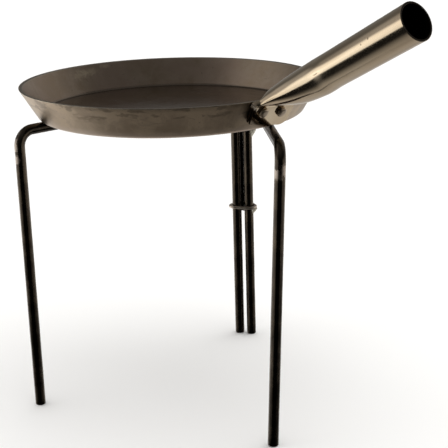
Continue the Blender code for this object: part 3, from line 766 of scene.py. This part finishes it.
def edge_cutter():
    """The block that trims one side's fold, so that the two layers show with a slit
    between them."""
    root, around, down, out = wall_frame(0.0, 0.0, GAP + MID_T)

    def edge(t):
        tilt = TILT[0] + (TILT[1] - TILT[0]) * t
        across = around * math.cos(tilt) + down * math.sin(tilt)
        reach = TRIM[0] + (TRIM[1] - TRIM[0]) * t
        return root + down * (FLANGE_TOP + (FLANGE_BOTTOM - FLANGE_TOP) * t) - across * reach

    upper, lower = edge(0.05), edge(1.0)
    run = (lower - upper).normalized()
    beyond = run.cross(out)
    if beyond.dot(around) > 0:
        beyond = -beyond
    outline = [upper - run * 1.5 * MM, lower + run * 3 * MM,
               lower + run * 3 * MM + beyond * 5 * MM, upper - run * 1.5 * MM + beyond * 5 * MM]
    verts = [p + out * 8 * MM for p in outline] + [p - out * 8 * MM for p in outline]
    faces = [(0, 1, 2, 3), (7, 6, 5, 4)] + [((i + 1) % 4, i, 4 + i, 4 + (i + 1) % 4) for i in range(4)]
    return make("cutter", verts, faces)


carve(socket, flange_cutter())
carve(socket, edge_cutter())

# ------------------------------------------------------------------ rivets
FLANGE_ROOT, _, FLANGE_DOWN, FLANGE_OUT = wall_frame(0.0, 0.0, GAP + MID_T)
FLANGE_FACE = GAP + 2 * MID_T


def rivet_object(name, azimuth, depth):
    on_wall, _, _, wall_out = wall_frame(azimuth, depth)
    plane = wall_frame(0.0, 0.0, FLANGE_FACE)[0]
    at = on_wall + FLANGE_OUT * (plane - on_wall).dot(FLANGE_OUT)
    slant = TAIL_R * math.tan(wall_out.angle(FLANGE_OUT))
    grip = (at - on_wall).length + PAN_SHEET / math.cos(wall_out.angle(FLANGE_OUT)) + GAP + slant
    head = [(0.0, GAP + HEAD_H)]
    for i in range(1, 15):
        a = (math.pi / 2) * i / 14
        head.append((HEAD_R * math.sin(a) ** 0.70, GAP + HEAD_H * (0.28 + 0.72 * math.cos(a) ** 0.55)
                     if i < 14 else GAP + HEAD_H * 0.28))
    head += [(HEAD_R, GAP + HEAD_H * 0.10), (HEAD_R * 0.985, GAP), (SHANK_R, GAP), (SHANK_R, -grip)]
    tail = [(TAIL_R * 0.985, -grip), (TAIL_R, -grip - TAIL_H * 0.12)]
    for i in range(1, 9):
        a = (math.pi / 2) * i / 8
        tail.append((TAIL_R * math.cos(a) ** 0.7 if i < 8 else 0.0,
                     -grip - TAIL_H * (0.12 + 0.88 * math.sin(a))))
    turn = FLANGE_OUT.to_track_quat('Z', 'Y').to_matrix().to_4x4()
    obj = lathe(name + "_head", head + tail, Matrix.Translation(at) @ turn, 56)
    # hammer marks: the head isn't quite round
    for v in obj.data.vertices:
        if (v.co - at).dot(FLANGE_OUT) > GAP + 0.0002:
            d = noise.noise(v.co * 620) * 0.00009
            v.co += (v.co - at).normalized() * d
    return obj


rivets = {name: rivet_object(name, *spot) for name, spot in RIVETS.items()}


# ------------------------------------------------------------------ stand
def leg_points(leg):
    tx, ty, fx, fy = leg
    return Vector((PX + fx, PY + fy, 0.0)), Vector((PX + tx, PY + ty, ARM_Z))


def frame_path(front, rear):
    foot_a, top_a = leg_points(front)
    foot_b, top_b = leg_points(rear)
    end_r = ROD_R - 0.8 * MM
    for foot, top in ((foot_a, top_a), (foot_b, top_b)):
        lean = (top - foot).normalized()
        foot.z += end_r * math.hypot(lean.x, lean.y)
    return refine(fillet_path([foot_a, top_a, top_b, foot_b], BEND_R, 30), 3 * MM)


def rolled(seed):
    """The unevenness of rolled bar: long shallow waves and shorter dents."""
    def uneven(p, d):
        q = Vector((p.x, p.y, p.z + seed))
        return noise.noise(q * 55) * 0.00006 + noise.noise(q * 210) * 0.00003 - 0.00006
    return uneven


right_frame = sweep("right_frame_bar", frame_path(RIGHT_FRONT, RIGHT_REAR), ROD_R, 40, 0.8 * MM, rolled(3.0))
left_frame = sweep("left_frame_bar", frame_path(LEFT_FRONT, LEFT_REAR), ROD_R, 40, 0.8 * MM, rolled(7.0))

left_leg = Vector((PX + LEFT_REAR[0], PY + LEFT_REAR[1], 0.0))
right_leg = Vector((PX + RIGHT_REAR[0], PY + RIGHT_REAR[1], 0.0))
along = (right_leg - left_leg).normalized()
behind = Vector((-along.y, along.x, 0.0))
spacer_at = (left_leg + right_leg) / 2 + behind * SPACER_SETBACK
spacer = sweep("spacer_bar", refine([spacer_at + Vector((0, 0, SPACER_Z[0])),
                                     spacer_at + Vector((0, 0, SPACER_Z[1]))], 3 * MM),
               ROD_R, 36, 0.6 * MM, rolled(11.0))


def loop_points(z):
    reach = ROD_R + LOOP_CLEARANCE + WIRE_R
    centres = [right_leg, spacer_at, left_leg]
    points = []
    for i, centre in enumerate(centres):
        before, after = centres[i - 1], centres[(i + 1) % 3]
        into, leave = (centre - before), (after - centre)
        start = math.atan2(into.y, into.x) - math.pi / 2
        sweep_angle = (math.atan2(leave.y, leave.x) - math.pi / 2 - start) % (2 * math.pi)
        for k in range(25):
            a = start + sweep_angle * k / 24
            points.append(Vector((centre.x + reach * math.cos(a), centre.y + reach * math.sin(a), z)))
    closed = refine(points + [points[0]], 1.2 * MM)[:-1]
    return closed


def wire_uneven(p, d):
    return noise.noise(p * 260) * 0.00005 - 0.00003


loops = {k: sweep(k + "_loop_wire", loop_points(z), WIRE_R, 24, 0.0, wire_uneven, cyclic=True)
         for k, z in LOOPS.items()}


def bead(name, loop_z, length, seed):
    """A lumpy fillet of weld metal under the loop, against the right frame's rear leg."""
    top = loop_z - WIRE_R - GAP
    centre = right_leg + along * (ROD_R + 1.0 * MM) + Vector((0, 0, top))
    bm = bmesh.new()
    bmesh.ops.create_uvsphere(bm, u_segments=56, v_segments=40, radius=1.0)
    spin = Matrix.Rotation(math.atan2(along.y, along.x), 3, 'Z')
    for v in bm.verts:
        p = Vector(v.co)
        q = p * 2.4 + Vector((seed, 0, 0))
        swell = 1.0 + 0.10 * noise.noise(q) + 0.035 * noise.noise(q * 2.9) - 0.10
        p *= swell
        p.z = min(p.z, 0.05 * p.z)
        narrow = max(0.0, 1.0 + p.z) ** 0.55 if p.z < 0 else 1.0
        p.x = (p.x + 0.9) * narrow * (0.62 + 0.38 * narrow) - 0.9
        p.y *= 0.45 + 0.55 * narrow
        v.co = centre + spin @ Vector((p.x * 2.9 * MM, p.y * 3.6 * MM, p.z * length))
    mesh = bpy.data.meshes.new(name)
    bmesh.ops.remove_doubles(bm, verts=bm.verts, dist=1e-6)
    bm.to_mesh(mesh)
    bm.free()
    mesh.shade_smooth()
    mesh.set_sharp_from_angle(angle=math.radians(50))
    obj = bpy.data.objects.new(name, mesh)
    bpy.context.scene.collection.objects.link(obj)
    return obj


beads = {"lower": bead("lower_weld_bead", LOOPS["lower"], 6.2 * MM, 2.0),
         "upper": bead("upper_weld_bead", LOOPS["upper"], 9.0 * MM, 9.0)}

# ------------------------------------------------------------------ riding and finish
pan_steel = pan_material()
socket_steel = socket_material()
rivet_steel = rivet_material()
loop_steel = loop_material()
weld_steel = weld_material()


def on_leg(leg, z, bulge=(0, 0)):
    """A point on a leg's surface at height z, bulge being the direction out from its axis."""
    foot, top = leg_points(leg)
    p = foot.lerp(top, z / ARM_Z)
    b = Vector((bulge[0], bulge[1], 0.0))
    if b.length:
        p += b.normalized() * ROD_R
    return tuple(p)


right_rod_steel = rod_material("right_bar_black_steel", [
    (on_leg(RIGHT_FRONT, 0.2010, (0.05, -1.0)), 0.0042),
    (on_leg(RIGHT_FRONT, 0.2035, (1.0, 0.35)), 0.0052),
    (on_leg(RIGHT_FRONT, 0.1990, (0.75, -0.65)), 0.0026)], 1.7)
left_rod_steel = rod_material("left_bar_black_steel", [
    (on_leg(LEFT_FRONT, 0.1985, (0.15, -1.0)), 0.0036),
    (on_leg(LEFT_FRONT, 0.2080, (-0.35, -1.0)), 0.0040),
    (on_leg(LEFT_FRONT, 0.2125, (-0.35, -1.0)), 0.0030)], 4.1)
spacer_steel = rod_material("spacer_black_steel", [], 8.3)

place(pan, "pan_with_handle", "pan_steel", pan_steel, "pan")
place(socket, "pan_with_handle", "socket_steel", socket_steel, "handle_socket")
for name, obj in rivets.items():
    place(obj, "pan_with_handle", "rivet_steel", rivet_steel, name)
place(right_frame, "right_frame", "rod_steel", right_rod_steel, "right_frame_rod")
place(left_frame, "left_frame", "rod_steel", left_rod_steel, "left_frame_rod")
place(spacer, "right_frame", "rod_steel", spacer_steel, "hinge_spacer_rod")
for k in ("lower", "upper"):
    place(loops[k], "right_frame", "loop_steel", loop_steel, k + "_hinge_ring")
    place(beads[k], "right_frame", "weld_steel", weld_steel, k + "_ring_weld")

# ------------------------------------------------------------------ floor, light, camera
CAM_FWD = Vector((-0.72659, 0.62746, -0.27995))
CAM_RIGHT = Vector((0.65907, 0.75163, -0.02594))
CAM_UP = Vector((-0.19414, 0.20335, 0.95967))

cam_data = bpy.data.cameras.new("camera")
cam = bpy.data.objects.new("camera", cam_data)
bpy.context.scene.collection.objects.link(cam)
turn = Matrix((CAM_RIGHT, CAM_UP, -CAM_FWD)).transposed().to_4x4()
cam.matrix_world = Matrix.Translation((PX + 0.7383, PY - 0.5873, 0.4069)) @ turn
cam_data.lens = 99.96
cam_data.sensor_width = 36.0
cam_data.clip_start, cam_data.clip_end = 0.01, 60.0
bpy.context.scene.camera = cam

bm = bmesh.new()
bmesh.ops.create_circle(bm, cap_ends=True, segments=96, radius=9.0)
mesh = bpy.data.meshes.new("floor")
bm.to_mesh(mesh)
bm.free()
floor = bpy.data.objects.new("floor", mesh)
bpy.context.scene.collection.objects.link(floor)
floor.location = (0, 0, -0.0002)
f = Nodes("pale_floor")
f.link(f.mix(f.ramp(f.noise(2.5, 2, 0.5), 0.3, 0.7), (0.90, 0.90, 0.895), (0.92, 0.92, 0.915)),
       f.bsdf.inputs["Base Color"])
f.bsdf.inputs["Roughness"].default_value = 0.9
f.bsdf.inputs["Specular IOR Level"].default_value = 0.1
mesh.materials.append(f.mat)
floor.visible_glossy = False

F = Vector((0.7569, -0.6536, 0.0))      # from the object towards the camera, level
R = Vector((0.6536, 0.7569, 0.0))       # to the right in the view, level
Z = Vector((0.0, 0.0, 1.0))


def studio():
    """The surroundings that the steel mirrors: a white table behind, a dark room in front,
    a bright panel low on the left and a soft one high at the back right."""
    world = bpy.data.worlds.new("studio")
    bpy.context.scene.world = world
    world.use_nodes = True
    tree = world.node_tree
    back = tree.nodes["Background"]
    coord = tree.nodes.new("ShaderNodeTexCoord")
    d = coord.outputs["Generated"]

    def node(kind, **props):
        nd = tree.nodes.new(kind)
        for k, v in props.items():
            setattr(nd, k, v)
        return nd

    def dot(axis):
        nd = node("ShaderNodeVectorMath", operation='DOT_PRODUCT')
        tree.links.new(d, nd.inputs[0])
        nd.inputs[1].default_value = tuple(axis)
        return nd.outputs["Value"]

    def ramp(x, lo, hi, a=0.0, b=1.0):
        nd = node("ShaderNodeMapRange", interpolation_type='SMOOTHSTEP')
        tree.links.new(x, nd.inputs[0])
        for k, v in zip((1, 2, 3, 4), (lo, hi, a, b)):
            nd.inputs[k].default_value = v
        return nd.outputs[0]

    def mul(a, b):
        nd = node("ShaderNodeMath", operation='MULTIPLY')
        for k, v in ((0, a), (1, b)):
            if isinstance(v, (int, float)):
                nd.inputs[k].default_value = v
            else:
                tree.links.new(v, nd.inputs[k])
        return nd.outputs[0]

    total = None

    def add(strength, colour):
        nonlocal total
        nd = node("ShaderNodeVectorMath", operation='SCALE')
        nd.inputs[0].default_value = colour
        tree.links.new(strength, nd.inputs["Scale"])
        if total is None:
            total = nd.outputs[0]
        else:
            s = node("ShaderNodeVectorMath", operation='ADD')
            tree.links.new(total, s.inputs[0])
            tree.links.new(nd.outputs[0], s.inputs[1])
            total = s.outputs[0]

    def lobe(axis, inner, outer, strength, colour):
        add(ramp(dot(Vector(axis).normalized()), outer, inner, 0.0, strength), colour)

    front, right, high = dot(F), dot(R), dot(Z)
    # faint light from everywhere above
    add(ramp(high, -0.05, 0.9, 0.010, 0.135), (1.0, 0.97, 0.94))
    # the white table behind the object
    table = mul(ramp(high, 0.03, -0.14), ramp(high, -0.96, -0.76, 0.56, 1.0))
    add(mul(mul(table, ramp(front, 0.03, -0.25)), ramp(right, -0.14, -0.50, 0.0, 0.64)), (1.0, 0.98, 0.955))
    add(mul(mul(table, ramp(front, 0.00, -0.45)), ramp(right, 0.60, 0.50, 0.0, 0.33)), (1.0, 0.97, 0.94))
    add(mul(mul(table, ramp(front, -0.10, -0.35)), ramp(right, 0.32, 0.60, 0.0, 0.60)), (1.0, 0.97, 0.92))
    # the table straight below, dark towards the front
    down = ramp(dot(-Z), 0.66, 0.98, 0.0, 0.26)
    add(mul(mul(down, ramp(front, 0.50, 0.10)), ramp(right, 0.52, 0.36)), (1.0, 0.94, 0.87))
    # table and panel seen low on the left and on the right
    level = mul(mul(ramp(high, -0.34, -0.26), ramp(high, 0.20, 0.04)), ramp(front, -0.66, -0.36))
    add(mul(mul(level, ramp(right, -0.66, -0.82)), 1.18), (1.0, 0.975, 0.92))
    add(mul(mul(level, ramp(right, 0.66, 0.82)), 0.80), (1.0, 0.94, 0.86))
    # a soft panel high on the left
    lobe(-R * 0.87 - F * 0.06 + Z * 0.48, 0.97, 0.80, 0.45, (1.0, 0.96, 0.93))
    lobe(-R * 0.60 - F * 0.72 + Z * 0.34, 0.97, 0.87, 0.06, (1.0, 0.97, 0.94))
    # a soft panel high at the back right
    lobe(R * 0.72 - F * 0.62 + Z * 0.24, 0.97, 0.75, 0.34, (1.0, 0.95, 0.93))
    # back wall, level
    add(mul(mul(ramp(front, -0.55, -0.95), ramp(high, 0.45, 0.0)), 0.25), (1.0, 1.0, 1.0))
    # where the backdrop itself shows above the floor it is plain and pale
    seen = node("ShaderNodeMix", data_type='RGBA')
    tree.links.new(node("ShaderNodeLightPath").outputs["Is Camera Ray"], seen.inputs[0])
    tree.links.new(total, seen.inputs[6])
    seen.inputs[7].default_value = (0.93, 0.925, 0.915, 1.0)
    tree.links.new(seen.outputs[2], back.inputs["Color"])
    back.inputs["Strength"].default_value = 1.0


studio()


def sun(name, direction, strength, angle):
    data = bpy.data.lights.new(name, 'SUN')
    data.energy = strength
    data.angle = math.radians(angle)
    data.color = (1.0, 0.995, 0.985)
    obj = bpy.data.objects.new(name, data)
    bpy.context.scene.collection.objects.link(obj)
    obj.rotation_euler = Vector(direction).to_track_quat('-Z', 'Y').to_euler()
    obj.visible_glossy = False
    return obj


sun("key", -(R * 0.30 - F * 0.20 + Z), 2.0, 90)
sun("fill", -(-R * 0.5 + F * 0.3 + Z), 1.6, 140)

bpy.context.scene.view_settings.view_transform = 'Standard'
bpy.context.scene.view_settings.look = 'None'

bpy.context.view_layer.update()
